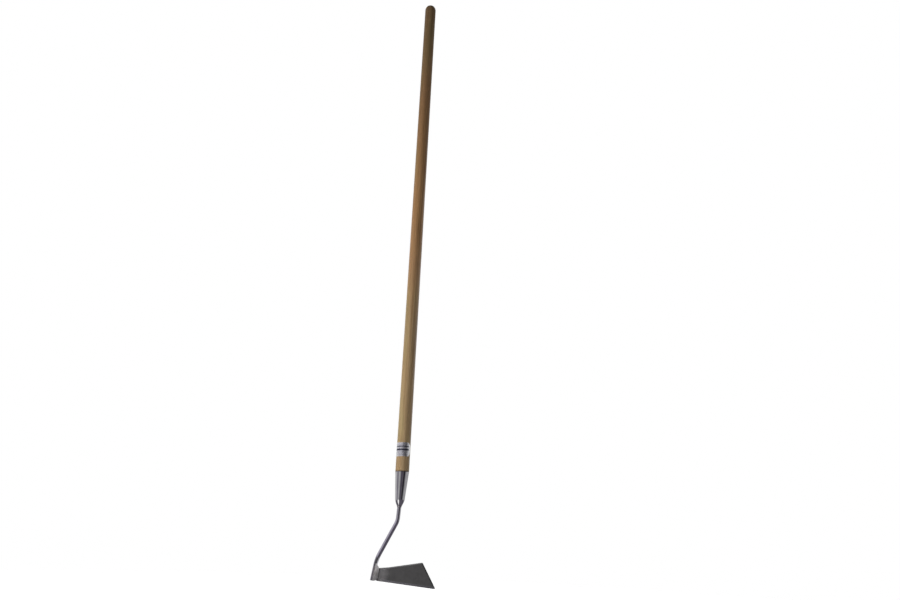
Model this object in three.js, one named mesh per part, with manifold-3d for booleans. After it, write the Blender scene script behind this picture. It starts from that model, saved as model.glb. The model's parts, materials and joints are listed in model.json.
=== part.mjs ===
// Long-handled push-pull hoe: a straight ash handle in a tapered steel socket, a round steel neck with
// two bends, and a one-sided flat blade whose narrow end is folded up into a tab and welded to the neck.
// Millimetres, +Z up along the handle, +X towards the blade's free end, -Y the side the blade leans to.
// The origin is on the handle's axis where the upper hand holds it.

import * as THREE from 'three';
import { mergeVertices } from 'three/addons/utils/BufferGeometryUtils.js';
import Module from 'manifold-3d';

const wasm = await Module();
wasm.setup();

// Driving dimensions. Heights below are from the socket's mouth unless they say otherwise.
const GAP = 0.3;                    // clearance between touching pieces
const ROUND_SEGMENTS = 48;

const WOOD_RADIUS = 14.5;           // 29 mm round ash
const WOOD_LENGTH = 1273.5;          // visible wood, from the socket's mouth to the top of the dome
const GRIP_DROP = 150;              // from the top of the dome down to the upper hand
const SPIGOT_LENGTH = 54;           // tapered wood inside the socket
const SPIGOT_CHAMFER = 1;
const SHOULDER_CHAMFER = 0.5;       // on the wood where it meets the socket's mouth

const SOCKET_MOUTH_RADIUS = 14.5;
const SOCKET_WAIST_RADIUS = 10;     // where the straight cone ends and the shoulder starts
const SOCKET_CONE = 55.5;           // length of the straight cone
const SOCKET_LENGTH = 67.6;         // mouth to closed end
const SOCKET_END_RADIUS = 5.3;
const SOCKET_WALL = 1.6;
const SOCKET_FLOOR = 57;            // depth of the socket's hollow
const SOCKET_FLOOR_CHAMFER = 2;
const SOCKET_LIP = 0.4;             // small chamfer round the mouth
const SOCKET_LEAN = 0.023;          // the socket drifts towards -X by this much for each millimetre down

const ROD_RADIUS = 4.25;            // 8.5 mm round bar
const ROD_START = 70.8;             // top of the rod below the socket's mouth
const ROD_KNEE = new THREE.Vector3(-3.1, 0, -97.3);   // upper bend, where the two straights would meet
const KNEE_TANGENT = 7.5;           // length of straight that each bend takes up
const ANKLE_TANGENT = 12;
const ROD_OFFSET = 9;               // rod's axis outside the fold line, in the blade's plane
const ROD_END = -21;                // the rod runs this far down the fold line before it is cut flush

const BLADE_PITCH = THREE.MathUtils.degToRad(32);     // between the blade's plane and the handle's axis
const BLADE_CANT = THREE.MathUtils.degToRad(5);       // lean of the fold line within the blade's plane
const FOLD_CENTRE = new THREE.Vector3(-34, -12.9, -199.9);
const PLATE = 2;                    // thickness of the blade's steel
const FOLD_ANGLE = THREE.MathUtils.degToRad(56);
const FOLD_RADIUS = 2.5;            // inside radius of the fold
const FOLD_HALF = 13;               // half the length of the fold line
const TAB_WIDTH = 14;               // fold line to the tab's outer edge, along the tab
const TAB_TOP = 16.5;               // the tab flares from the fold to these corners
const TAB_BOTTOM = -22;            // below the flush cut, so the tab is dressed level with the rod
const REAR_CORNER = new THREE.Vector2(83, 36.8);
const TIP = new THREE.Vector2(116, -15.4);
const TIP_ROUND = 4.5;              // length of edge that each rounded corner takes up
const CORNER_ROUND = 2.2;
const BEVEL_WIDTH = 3.4;            // ground on the upper side along three edges
const BEVEL_START = 5;              // the long bevels start this far from the fold
const BEVEL_RAMP = 8;               // they run in this far for each millimetre of depth
const EDGE_THICKNESS = 0.4;

const SCREW_DROP = 15;
const SCREW_RADIUS = 1.7;
const SCREW_LENGTH = 15;
const SCREW_POINT = 2;              // length of the tapered point
const SCREW_HEAD_RADIUS = 3.5;
const SCREW_HEAD_HEIGHT = 2.2;
const SCREW_SLOT_WIDTH = 0.9;
const SCREW_SLOT_DEPTH = 0.6;
const SCREW_HOLE_END = 3;           // the hole in the wood stops this far short of the handle's axis

const LABEL_CENTRE = 45.3;          // middle of the label above the socket's mouth
const LABEL_HALF_HEIGHT = 14.5;
const LABEL_HALF_ARC = THREE.MathUtils.degToRad(94);
const LABEL_TURN = THREE.MathUtils.degToRad(-26);     // label's middle, turned from -Y towards -X
const LABEL_CORNER = 9;
const LABEL_THICKNESS = 0.3;

const WELD_LENGTH = 26;             // fillet welds between the rod and the tab
const WELD_REACH = 4;               // leg of the fillet along the tab
const WELD_TOP = 12.5;              // upper end of the welds along the fold line
const WELD_CROWN = 0.5;             // how far the neck's weld stands proud of the rod

const material = (color, roughness, metalness) =>
  new THREE.MeshStandardMaterial({ color, roughness, metalness });

// Solid of a three.js geometry, moved by a matrix.
function solidOf(geometry, matrix = new THREE.Matrix4()) {
  const bare = geometry.clone().applyMatrix4(matrix);
  bare.deleteAttribute('normal');
  bare.deleteAttribute('uv');
  const welded = mergeVertices(bare, 1e-4);
  return new wasm.Manifold(new wasm.Mesh({
    numProp: 3,
    vertProperties: new Float32Array(welded.attributes.position.array),
    triVerts: new Uint32Array(welded.index.array),
  }));
}

function geometryOf(solid) {
  const mesh = solid.getMesh();
  const geometry = new THREE.BufferGeometry();
  geometry.setAttribute('position', new THREE.BufferAttribute(new Float32Array(mesh.vertProperties), 3));
  geometry.setIndex(new THREE.BufferAttribute(new Uint32Array(mesh.triVerts), 1));
  geometry.computeVertexNormals();
  return geometry;
}

function named(name, geometry, finish) {
  const mesh = new THREE.Mesh(geometry, finish);
  mesh.name = name;
  return mesh;
}

// Turned solid about Z from a profile of (radius, height) points.
function turned(profile, segments = ROUND_SEGMENTS) {
  const points = profile.map(([radius, height]) => new THREE.Vector2(radius, height));
  const upright = new THREE.Matrix4().makeRotationX(Math.PI / 2);
  return new THREE.LatheGeometry(points, segments).applyMatrix4(upright);
}

const translation = (x, y, z) => new THREE.Matrix4().makeTranslation(x, y, z);
const leanAt = (z) => SOCKET_LEAN * Math.min(z, 0);

// Everything below the socket's mouth follows the socket's slight lean.
function leaned(geometry) {
  const position = geometry.attributes.position;
  for (let i = 0; i < position.count; i += 1) {
    position.setX(i, position.getX(i) + leanAt(position.getZ(i)));
  }
  return geometry;
}

// The blade's own frame: X away from the fold, Y up the fold line, Z out of the upper face.
// Z = 0 is the sole.
const bladeFrame = new THREE.Matrix4().compose(
  FOLD_CENTRE,
  new THREE.Quaternion().setFromEuler(new THREE.Euler(Math.PI / 2 - BLADE_PITCH, 0, -BLADE_CANT)),
  new THREE.Vector3(1, 1, 1),
);
const inTool = (x, y, z) => new THREE.Vector3(x, y, z).applyMatrix4(bladeFrame);

// The tab's directions in the blade's frame, and the rod's height where it lies against the tab.
const tabRun = new THREE.Vector2(-Math.cos(FOLD_ANGLE), Math.sin(FOLD_ANGLE));
const tabOut = new THREE.Vector2(-Math.sin(FOLD_ANGLE), -Math.cos(FOLD_ANGLE));
const tabFrame = new THREE.Matrix4().makeRotationY(FOLD_ANGLE).setPosition(0, 0, PLATE / 2);
const rodStandoff = PLATE / 2 + GAP + ROD_RADIUS;
const rodHeight = PLATE / 2 + (ROD_OFFSET * Math.sin(FOLD_ANGLE) - rodStandoff) / Math.cos(FOLD_ANGLE);

// Radius of the socket's outside at a distance below its mouth: a straight cone, then a rounded shoulder.
function socketRadius(drop) {
  if (drop <= SOCKET_CONE) {
    return THREE.MathUtils.lerp(SOCKET_MOUTH_RADIUS, SOCKET_WAIST_RADIUS, drop / SOCKET_CONE);
  }
  const shoulderRoundness = 1.4;
  const t = (drop - SOCKET_CONE) / (SOCKET_LENGTH - SOCKET_CONE);
  return THREE.MathUtils.lerp(SOCKET_WAIST_RADIUS, SOCKET_END_RADIUS, t ** shoulderRoundness);
}

// Frame of the screw: its Z points out of the back of the socket, from a distance behind the handle's axis.
const screwFrame = (depth) => translation(leanAt(-SCREW_DROP), depth, -SCREW_DROP)
  .multiply(new THREE.Matrix4().makeRotationX(-Math.PI / 2));

// Clearance hole for the screw between two distances behind the handle's axis.
function screwHole(from, to) {
  const hole = new THREE.CylinderGeometry(SCREW_RADIUS + GAP, SCREW_RADIUS + GAP, to - from, 16);
  return solidOf(hole, translation(leanAt(-SCREW_DROP), (from + to) / 2, -SCREW_DROP));
}

function woodHandle() {
  const spigotRadius = (drop) => socketRadius(drop) - SOCKET_WALL - GAP;
  const profile = [
    [0, -SPIGOT_LENGTH],
    [spigotRadius(SPIGOT_LENGTH) - SPIGOT_CHAMFER, -SPIGOT_LENGTH],
    [spigotRadius(SPIGOT_LENGTH), SPIGOT_CHAMFER - SPIGOT_LENGTH],
    [spigotRadius(0), GAP],
    [WOOD_RADIUS - SHOULDER_CHAMFER, GAP],
    [WOOD_RADIUS, GAP + SHOULDER_CHAMFER],
    [WOOD_RADIUS, WOOD_LENGTH / 2],
  ];
  const domeSteps = 9;
  for (let i = 0; i < domeSteps; i += 1) {
    const angle = (i / domeSteps) * Math.PI / 2;
    profile.push([WOOD_RADIUS * Math.cos(angle), WOOD_LENGTH - WOOD_RADIUS * (1 - Math.sin(angle))]);
  }
  profile.push([0, WOOD_LENGTH]);
  const wood = solidOf(leaned(turned(profile))).subtract(screwHole(-SCREW_HOLE_END, WOOD_RADIUS));
  return named('wood_handle', geometryOf(wood), material(0x8a7352, 0.5, 0));
}

// Foil label: a thin sheet with round corners, wrapped round the handle.
function handleLabel() {
  const halfLength = LABEL_HALF_ARC * WOOD_RADIUS;
  const sheet = new THREE.BoxGeometry(2 * halfLength, 2 * LABEL_HALF_HEIGHT, LABEL_THICKNESS, 40, 1, 1);
  const position = sheet.attributes.position;
  for (let i = 0; i < position.count; i += 1) {
    const along = position.getX(i);
    const intoCorner = Math.max(0, Math.abs(along) - (halfLength - LABEL_CORNER));
    const cornerDrop = LABEL_CORNER - Math.sqrt(Math.max(0, LABEL_CORNER ** 2 - intoCorner ** 2));
    const height = Math.sign(position.getY(i)) * (LABEL_HALF_HEIGHT - cornerDrop);
    const radius = WOOD_RADIUS + GAP + LABEL_THICKNESS / 2 + position.getZ(i);
    const angle = LABEL_TURN + along / WOOD_RADIUS - Math.PI / 2;
    position.setXYZ(i, radius * Math.cos(angle), radius * Math.sin(angle), LABEL_CENTRE + height);
  }
  sheet.computeVertexNormals();
  return named('handle_label', sheet, material(0xa4a5aa, 0.35, 0.8));
}

// Socket: a tapered cup, open at the top, with a solid rounded shoulder that necks down to the rod.
function socket() {
  const innerWaist = SOCKET_WAIST_RADIUS - SOCKET_WALL;
  const profile = [[0, -SOCKET_LENGTH]];
  const shoulderSteps = 8;
  for (let i = 0; i <= shoulderSteps; i += 1) {
    const drop = THREE.MathUtils.lerp(SOCKET_LENGTH, SOCKET_CONE, i / shoulderSteps);
    profile.push([socketRadius(drop), -drop]);
  }
  profile.push([SOCKET_MOUTH_RADIUS, -SOCKET_LIP]);
  profile.push([SOCKET_MOUTH_RADIUS - SOCKET_LIP, 0]);
  profile.push([SOCKET_MOUTH_RADIUS - SOCKET_WALL, 0]);
  profile.push([innerWaist, -SOCKET_CONE]);
  profile.push([innerWaist - SOCKET_FLOOR_CHAMFER, -SOCKET_FLOOR]);
  profile.push([0, -SOCKET_FLOOR]);
  const drilled = solidOf(leaned(turned(profile))).subtract(screwHole(SOCKET_WALL, 2 * SOCKET_MOUTH_RADIUS));
  return named('socket', geometryOf(drilled), material(0x9a9aa2, 0.18, 1));
}

// Round-head wood screw with a slot, through the back of the socket into the spigot.
function socketScrew() {
  const profile = [[0, -SCREW_LENGTH], [SCREW_RADIUS, SCREW_POINT - SCREW_LENGTH], [SCREW_RADIUS, 0]];
  const domeSteps = 5;
  for (let i = 0; i < domeSteps; i += 1) {
    const angle = (i / domeSteps) * Math.PI / 2;
    profile.push([SCREW_HEAD_RADIUS * Math.cos(angle), SCREW_HEAD_HEIGHT * Math.sin(angle)]);
  }
  profile.push([0, SCREW_HEAD_HEIGHT]);
  const slot = new THREE.BoxGeometry(3 * SCREW_HEAD_RADIUS, SCREW_SLOT_WIDTH, 2 * SCREW_SLOT_DEPTH);
  const screw = solidOf(turned(profile, 24)).subtract(solidOf(slot, translation(0, 0, SCREW_HEAD_HEIGHT)));
  const mesh = named('socket_screw', geometryOf(screw), material(0x8f8f93, 0.35, 1));
  mesh.applyMatrix4(screwFrame(socketRadius(SCREW_DROP) + GAP));
  return mesh;
}

// Butt weld between the socket's closed end and the rod, dressed smooth.
function neckWeld() {
  const top = -SOCKET_LENGTH - GAP;
  const bottom = -ROD_START + GAP;
  const bead = turned([
    [0, bottom],
    [ROD_RADIUS, bottom],
    [ROD_RADIUS + WELD_CROWN, (top + bottom) / 2],
    [SOCKET_END_RADIUS, top],
    [0, top],
  ], 32);
  return named('neck_weld', leaned(bead), material(0x77777c, 0.4, 1));
}

// Centre line of the neck: three straights joined by two bends. The lowest straight lies along the tab.
function neckPath() {
  const start = new THREE.Vector3(leanAt(-ROD_START), 0, -ROD_START);
  const end = inTool(-ROD_OFFSET, ROD_END, rodHeight);
  const up = inTool(-ROD_OFFSET, 0, rodHeight).sub(end).normalize();
  const ankle = end.clone().addScaledVector(up, -end.y / up.y);
  const towards = (from, to, length) => from.clone().add(to.clone().sub(from).setLength(length));
  const kneeIn = towards(ROD_KNEE, start, KNEE_TANGENT);
  const kneeOut = towards(ROD_KNEE, ankle, KNEE_TANGENT);
  const ankleIn = towards(ankle, ROD_KNEE, ANKLE_TANGENT);
  const ankleOut = towards(ankle, end, ANKLE_TANGENT);
  const path = new THREE.CurvePath();
  path.add(new THREE.LineCurve3(start, kneeIn));
  path.add(new THREE.QuadraticBezierCurve3(kneeIn, ROD_KNEE, kneeOut));
  path.add(new THREE.LineCurve3(kneeOut, ankleIn));
  path.add(new THREE.QuadraticBezierCurve3(ankleIn, ankle, ankleOut));
  path.add(new THREE.LineCurve3(ankleOut, end));
  return path;
}

// The rod's lower end and the tab are dressed flush on one plane, which holds the blade's front edge and
// runs straight from front to back. This block is what is taken off below it.
function belowFrontEdge() {
  const heel = inTool(0, -FOLD_HALF, 0);
  const edge = inTool(TIP.x, TIP.y, 0).sub(heel);
  const size = 80;
  const block = new THREE.BoxGeometry(size, size, size);
  const place = translation(heel.x, heel.y, heel.z)
    .multiply(new THREE.Matrix4().makeRotationY(-Math.atan2(edge.z, edge.x)))
    .multiply(translation(-size / 4, 0, -size / 2));
  return solidOf(block, place);
}

function neckRod() {
  const section = new THREE.Shape().absarc(0, 0, ROD_RADIUS, 0, 2 * Math.PI);
  const rod = new THREE.ExtrudeGeometry(section, {
    steps: 48, curveSegments: 8, extrudePath: neckPath(), bevelEnabled: false,
  });
  return named('neck_rod', geometryOf(solidOf(rod).subtract(belowFrontEdge())), material(0x8d8d96, 0.25, 1));
}

// Section of the folded plate: flat blade, bend, tab.
function plateSection() {
  const centreX = (FOLD_RADIUS + PLATE / 2) * Math.tan(FOLD_ANGLE / 2);
  const centreY = PLATE + FOLD_RADIUS;
  const from = -Math.PI / 2;
  const to = from - FOLD_ANGLE;
  const farX = 2 * TIP.x;
  const tabEnd = new THREE.Vector2(0, PLATE / 2).addScaledVector(tabRun, TAB_WIDTH);
  const corner = (side) => tabEnd.clone().addScaledVector(tabOut, side * PLATE / 2);
  const section = new THREE.Shape();
  section.moveTo(farX, 0);
  section.lineTo(centreX, 0);
  section.absarc(centreX, centreY, FOLD_RADIUS + PLATE, from, to, true);
  section.lineTo(corner(1).x, corner(1).y);
  section.lineTo(corner(-1).x, corner(-1).y);
  section.absarc(centreX, centreY, FOLD_RADIUS, to, from, false);
  section.lineTo(farX, PLATE);
  section.closePath();
  return section;
}

// Prism of an outline in the XY plane, from one height to another.
function prism(outline, low, high) {
  const options = { depth: high - low, bevelEnabled: false, curveSegments: 6 };
  return solidOf(new THREE.ExtrudeGeometry(outline, options), translation(0, 0, low));
}

// Polygon whose corners are rounded by their own amounts.
function roundedOutline(corners) {
  const outline = new THREE.Shape();
  corners.forEach(({ point, round }, i) => {
    const before = corners[(i + corners.length - 1) % corners.length].point;
    const after = corners[(i + 1) % corners.length].point;
    const enter = point.clone().add(before.clone().sub(point).setLength(round));
    const leave = point.clone().add(after.clone().sub(point).setLength(round));
    if (i === 0) {
      outline.moveTo(enter.x, enter.y);
    } else {
      outline.lineTo(enter.x, enter.y);
    }
    if (round > 0) {
      outline.quadraticCurveTo(point.x, point.y, leave.x, leave.y);
    }
  });
  outline.closePath();
  return outline;
}

// Outline of the flat blade, seen from above, with a short overlap past the fold line.
function bladeOutline() {
  const overlap = -3;
  return roundedOutline([
    { point: new THREE.Vector2(overlap, -FOLD_HALF), round: 0 },
    { point: new THREE.Vector2(0, -FOLD_HALF), round: 0 },
    { point: TIP, round: TIP_ROUND },
    { point: REAR_CORNER, round: CORNER_ROUND },
    { point: new THREE.Vector2(0, FOLD_HALF), round: 0 },
    { point: new THREE.Vector2(overlap, FOLD_HALF), round: 0 },
  ]);
}

// Outline of the tab in its own plane, which flares from the fold line.
function tabOutline() {
  const outer = -TAB_WIDTH - 1;
  const root = -1.5;
  return roundedOutline([
    { point: new THREE.Vector2(outer, TAB_TOP), round: CORNER_ROUND },
    { point: new THREE.Vector2(outer, TAB_BOTTOM), round: CORNER_ROUND },
    { point: new THREE.Vector2(root, -FOLD_HALF), round: 0 },
    { point: new THREE.Vector2(root, FOLD_HALF), round: 0 },
  ]);
}

// Wedge that grinds the upper side of the plate along an edge, with the blade on the left of the way from
// one point to the other. An end that is named as a ramp rises gently to the plate's face.
function bevelWedge(from, to, ramp) {
  const slope = (PLATE - EDGE_THICKNESS) / BEVEL_WIDTH;
  const beyond = 4;
  const above = 2 * PLATE;
  const wedge = new THREE.Shape();
  wedge.moveTo(-BEVEL_WIDTH, PLATE);
  wedge.lineTo(beyond, EDGE_THICKNESS - slope * beyond);
  wedge.lineTo(beyond, above);
  wedge.lineTo(-BEVEL_WIDTH, above);
  wedge.closePath();
  const back = new THREE.Vector3(from.x - to.x, from.y - to.y, 0);
  const length = back.length();
  const geometry = new THREE.ExtrudeGeometry(wedge, { depth: length, bevelEnabled: false });
  const position = geometry.attributes.position;
  for (let i = 0; i < position.count; i += 1) {
    const slide = (PLATE - position.getY(i)) * BEVEL_RAMP;
    const atStart = position.getZ(i) > length / 2;
    if (ramp === 'start' && atStart) {
      position.setZ(i, position.getZ(i) - slide);
    } else if (ramp === 'end' && !atStart) {
      position.setZ(i, position.getZ(i) + slide);
    }
  }
  back.normalize();
  const out = new THREE.Vector3(-back.y, back.x, 0);
  const basis = new THREE.Matrix4().makeBasis(out, new THREE.Vector3(0, 0, 1), back);
  return solidOf(geometry, basis.setPosition(to.x, to.y, 0));
}

// Flat blade and folded tab in one piece, ground to an edge along the front, the free end and the rear.
function blade() {
  const reach = 2 * REAR_CORNER.y;
  const options = { depth: 2 * reach, bevelEnabled: false, curveSegments: 8 };
  const strip = new THREE.ExtrudeGeometry(plateSection(), options);
  // The section's Y becomes the frame's Z, and the strip runs along the fold line.
  const upright = new THREE.Matrix4().makeRotationX(Math.PI / 2).setPosition(0, reach, 0);
  const outline = prism(bladeOutline(), -PLATE / 2, 2 * PLATE)
    .add(prism(tabOutline(), -PLATE, PLATE).transform(tabFrame.elements));
  const frontStart = new THREE.Vector2(0, -FOLD_HALF).lerp(TIP, BEVEL_START / TIP.x);
  const rearEnd = new THREE.Vector2(0, FOLD_HALF).lerp(REAR_CORNER, BEVEL_START / REAR_CORNER.x);
  const runOut = 8;
  const past = (from, to) => to.clone().add(to.clone().sub(from).setLength(runOut));
  const ground = solidOf(strip, upright).intersect(outline)
    .subtract(bevelWedge(frontStart, past(frontStart, TIP), 'start'))
    .subtract(bevelWedge(past(REAR_CORNER, TIP), past(TIP, REAR_CORNER), 'none'))
    .subtract(bevelWedge(past(rearEnd, REAR_CORNER), rearEnd, 'end'))
    .subtract(belowFrontEdge().transform(bladeFrame.clone().invert().elements));
  return named('blade', geometryOf(ground), material(0x6a686c, 0.3, 1));
}

// Fillet weld in the groove between the rod and the tab's outer face. Side 1 is the tab's free edge,
// side -1 the groove towards the fold.
function tabWeld(name, side) {
  const rodCentre = new THREE.Vector2(-ROD_OFFSET, rodHeight);
  const contact = rodCentre.clone().addScaledVector(tabOut, -(ROD_RADIUS + GAP / 2));
  const alongTab = contact.clone().addScaledVector(tabRun, side * WELD_REACH);
  const aroundRod = rodCentre.clone().addScaledVector(tabRun, side * ROD_RADIUS);
  const section = new THREE.Shape([contact, alongTab, aroundRod]);
  const fillet = new THREE.ExtrudeGeometry(section, { depth: WELD_LENGTH, bevelEnabled: false });
  const upright = new THREE.Matrix4().makeRotationX(Math.PI / 2).setPosition(0, WELD_TOP, 0);
  const rodSpace = new THREE.CylinderGeometry(ROD_RADIUS + GAP, ROD_RADIUS + GAP, 2 * WELD_LENGTH, 32);
  const tabSpace = new THREE.BoxGeometry(4 * TAB_WIDTH, 2 * WELD_LENGTH, PLATE + 2 * GAP);
  const weld = solidOf(fillet, upright)
    .subtract(solidOf(rodSpace, translation(rodCentre.x, 0, rodCentre.y)))
    .subtract(solidOf(tabSpace, tabFrame));
  return named(name, geometryOf(weld), material(0x77777c, 0.45, 1));
}

const head = new THREE.Group();
head.applyMatrix4(bladeFrame);
head.add(blade());
head.add(tabWeld('tab_weld_outer', 1));
head.add(tabWeld('tab_weld_inner', -1));

// Tool: the socket's mouth is at Z = 0.
const tool = new THREE.Group();
tool.position.z = GRIP_DROP - WOOD_LENGTH;
tool.add(woodHandle());
tool.add(handleLabel());
tool.add(socket());
tool.add(socketScrew());
tool.add(neckWeld());
tool.add(neckRod());
tool.add(head);

const hoe = new THREE.Group();
hoe.add(tool);

export default hoe;
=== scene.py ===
import json
import math

import bmesh
import bpy
from mathutils import Matrix, Vector
from mathutils import noise as smooth_noise


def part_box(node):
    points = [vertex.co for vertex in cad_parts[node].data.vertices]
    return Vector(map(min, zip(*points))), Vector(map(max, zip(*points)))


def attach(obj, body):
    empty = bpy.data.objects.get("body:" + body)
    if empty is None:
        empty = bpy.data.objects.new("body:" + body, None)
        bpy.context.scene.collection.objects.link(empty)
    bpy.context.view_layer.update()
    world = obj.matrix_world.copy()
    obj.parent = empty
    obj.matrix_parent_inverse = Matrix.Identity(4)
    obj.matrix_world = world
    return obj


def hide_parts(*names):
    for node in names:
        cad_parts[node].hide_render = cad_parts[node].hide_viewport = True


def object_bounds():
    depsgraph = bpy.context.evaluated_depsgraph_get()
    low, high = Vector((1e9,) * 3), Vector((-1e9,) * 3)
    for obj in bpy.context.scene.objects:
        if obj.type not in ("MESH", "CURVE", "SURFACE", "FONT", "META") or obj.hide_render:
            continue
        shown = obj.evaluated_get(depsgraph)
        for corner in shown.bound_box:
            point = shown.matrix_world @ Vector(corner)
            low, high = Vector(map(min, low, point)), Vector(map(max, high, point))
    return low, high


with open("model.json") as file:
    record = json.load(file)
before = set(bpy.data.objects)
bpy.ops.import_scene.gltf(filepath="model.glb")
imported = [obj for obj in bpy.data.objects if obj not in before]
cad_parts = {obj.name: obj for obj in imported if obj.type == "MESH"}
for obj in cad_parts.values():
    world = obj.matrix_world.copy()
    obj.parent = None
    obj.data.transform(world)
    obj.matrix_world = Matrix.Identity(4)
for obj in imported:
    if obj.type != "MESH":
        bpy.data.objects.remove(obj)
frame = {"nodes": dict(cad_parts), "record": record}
cad_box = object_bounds()
scene = bpy.context.scene

MM = 0.001

# --------------------------------------------------------------------------------------------------
# Places and sizes, in metres. Places come from the frame.
# --------------------------------------------------------------------------------------------------
wood_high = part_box("wood_handle")[1]
rod_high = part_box("neck_rod")[1]
socket_low, socket_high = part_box("socket")
label_low, label_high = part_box("handle_label")
weld_low, weld_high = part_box("neck_weld")
screw_low, screw_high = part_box("socket_screw")
tab_weld_low, tab_weld_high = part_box("tab_weld_outer")
mounts = {m["name"]: m for m in frame["record"]["mounts"]}

GAP = 0.3 * MM                  # between neighbouring pieces
WOOD_R = wood_high.x
SPIGOT_L = 54 * MM              # how far the wood reaches into the socket
MOUTH = socket_high.z           # height of the socket's mouth
SOCKET_R = socket_high.y
SOCKET_L = MOUTH - socket_low.z
SOCKET_WALL = 1.6 * MM
CONE_L = 55.5 * MM              # the socket's straight taper, above its rounded shoulder
HOLLOW_L = 57 * MM              # depth of the socket's hollow
LEAN = 0.023                    # the socket drifts towards -X by this much for each metre down

PLATE = 2 * MM                  # thickness of the blade
FOLD_ANGLE = math.radians(56)
FOLD_HALF = 13 * MM             # half the length of the fold line
TIP = Vector((116, -15.4, 0)) * MM      # front end of the blade, in its own frame
ROD_R = 4.25 * MM
ROD_OFFSET = 9 * MM             # from the fold to the bar's axis, along the tab
ROD_END = -21 * MM              # the path's last point, along the fold line

# The blade's own frame: X away from the fold, Y up the fold line, Z out of the upper face, and
# Z = 0 on the sole.
SOLE_POINT = (60 * MM, 3 * MM)  # where the sole's mount lies in it
CANT = math.radians(5)          # turn of the fold line about the plate's normal
blade_z = -Vector(mounts["blade_sole"]["axis"]).normalized()
uncanted_y = Vector((0, blade_z.z, -blade_z.y))
uncanted_x = uncanted_y.cross(blade_z)
blade_x = math.cos(CANT) * uncanted_x - math.sin(CANT) * uncanted_y
blade_y = math.sin(CANT) * uncanted_x + math.cos(CANT) * uncanted_y
sole_mount = Vector(mounts["blade_sole"]["pos_m"])
blade_frame = Matrix((blade_x, blade_y, blade_z)).transposed().to_4x4()
blade_frame.translation = sole_mount - SOLE_POINT[0] * blade_x - SOLE_POINT[1] * blade_y

# In the blade's frame: along the tab, out of the tab, and the bar's height above the sole.
tab_run = Vector((-math.cos(FOLD_ANGLE), 0, math.sin(FOLD_ANGLE)))
tab_out = Vector((-math.sin(FOLD_ANGLE), 0, -math.cos(FOLD_ANGLE)))
standoff = PLATE / 2 + GAP + ROD_R
rod_rise = (ROD_OFFSET * math.sin(FOLD_ANGLE) - standoff) / math.cos(FOLD_ANGLE)
rod_height = PLATE / 2 + rod_rise


def in_blade(x, y, z):
    return blade_frame @ Vector((x, y, z))


# The bar's lower end and the tab are dressed flush on one plane, which holds the front edge.
# above is 1 or -1, the side of it that the bar is on.
heel = in_blade(0, -FOLD_HALF, 0)
front_edge = in_blade(TIP.x, TIP.y, 0) - heel
flush_normal = front_edge.cross(Vector((0, 1, 0))).normalized()
above = 1 if flush_normal.z > 0 else -1


# --------------------------------------------------------------------------------------------------
# Mesh helpers.
# --------------------------------------------------------------------------------------------------
def link_object(name, data):
    made = bpy.data.objects.new(name, data)
    scene.collection.objects.link(made)
    return made


def edit_mesh(mesh, *steps):
    """Runs each step on a bmesh of the mesh and writes the result back."""
    work = bmesh.new()
    work.from_mesh(mesh)
    for step in steps:
        step(work)
    work.to_mesh(mesh)
    work.free()


def face_outwards(work):
    bmesh.ops.recalc_face_normals(work, faces=work.faces)


def with_modifiers(blank):
    """Mesh of an object with its modifiers applied. The object is removed."""
    bpy.context.view_layer.update()
    evaluated = blank.evaluated_get(bpy.context.evaluated_depsgraph_get())
    mesh = bpy.data.meshes.new_from_object(evaluated)
    bpy.data.objects.remove(blank)
    return mesh


def finish_mesh(name, mesh, sharp):
    """Object with outward normals, smooth shading, and sharp edges from the angle `sharp` up."""
    edit_mesh(mesh, face_outwards)
    mesh.polygons.foreach_set("use_smooth", [True] * len(mesh.polygons))
    mesh.set_sharp_from_angle(angle=sharp)
    return link_object(name, mesh)


def make_object(name, verts, faces, uvs, sharp):
    """Object from plain lists. uvs is None or one pair, in metres, for each vertex."""
    mesh = bpy.data.meshes.new(name)
    mesh.from_pydata([tuple(v) for v in verts], [], faces)
    if uvs:
        layer = mesh.uv_layers.new(name="metres")
        for loop in mesh.loops:
            layer.data[loop.index].uv = uvs[loop.vertex_index]
    return finish_mesh(name, mesh, sharp)


def tube_faces(rings, around):
    """Quads between neighbouring rings of `around` vertices each, and a cap on each end."""
    faces = []
    for low in range(0, (rings - 1) * around, around):
        high = low + around
        for a in range(around):
            b = (a + 1) % around
            faces.append((low + a, low + b, high + b, high + a))
    faces.append(tuple(range(around)))
    faces.append(tuple((rings - 1) * around + a for a in range(around)))
    return faces


def lathe(name, profile, segments, sharp, wobble=None):
    """Turned piece from (radius, height) points, which leans below the socket's mouth.
    A radius of 0 closes an end, and wobble(angle, height) multiplies the radius."""
    verts, faces, uvs = [], [], []
    rings = []
    length = 0.0
    last = None
    for radius, height in profile:
        if last is not None:
            length += math.dist(last, (radius, height))
        last = (radius, height)
        shift = LEAN * min(height - MOUTH, 0)
        if radius <= 0:
            rings.append([len(verts)])
            verts.append((shift, 0, height))
            uvs.append((0, length))
            continue
        ring = []
        for s in range(segments):
            angle = 2 * math.pi * s / segments + math.pi / 2
            r = radius * (wobble(angle, height) if wobble else 1)
            ring.append(len(verts))
            verts.append((shift + r * math.cos(angle), r * math.sin(angle), height))
            uvs.append((angle * radius, length))
        rings.append(ring)
    for one, two in zip(rings, rings[1:]):
        for s in range(segments):
            n = (s + 1) % segments
            if len(one) == 1:
                faces.append((one[0], two[n], two[s]))
            elif len(two) == 1:
                faces.append((one[s], one[n], two[0]))
            else:
                faces.append((one[s], one[n], two[n], two[s]))
    return make_object(name, verts, faces, uvs, sharp)


def quarter_turns(steps):
    """Angles from 0 to a quarter turn, both included."""
    return [i / steps * math.pi / 2 for i in range(steps + 1)]


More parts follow.
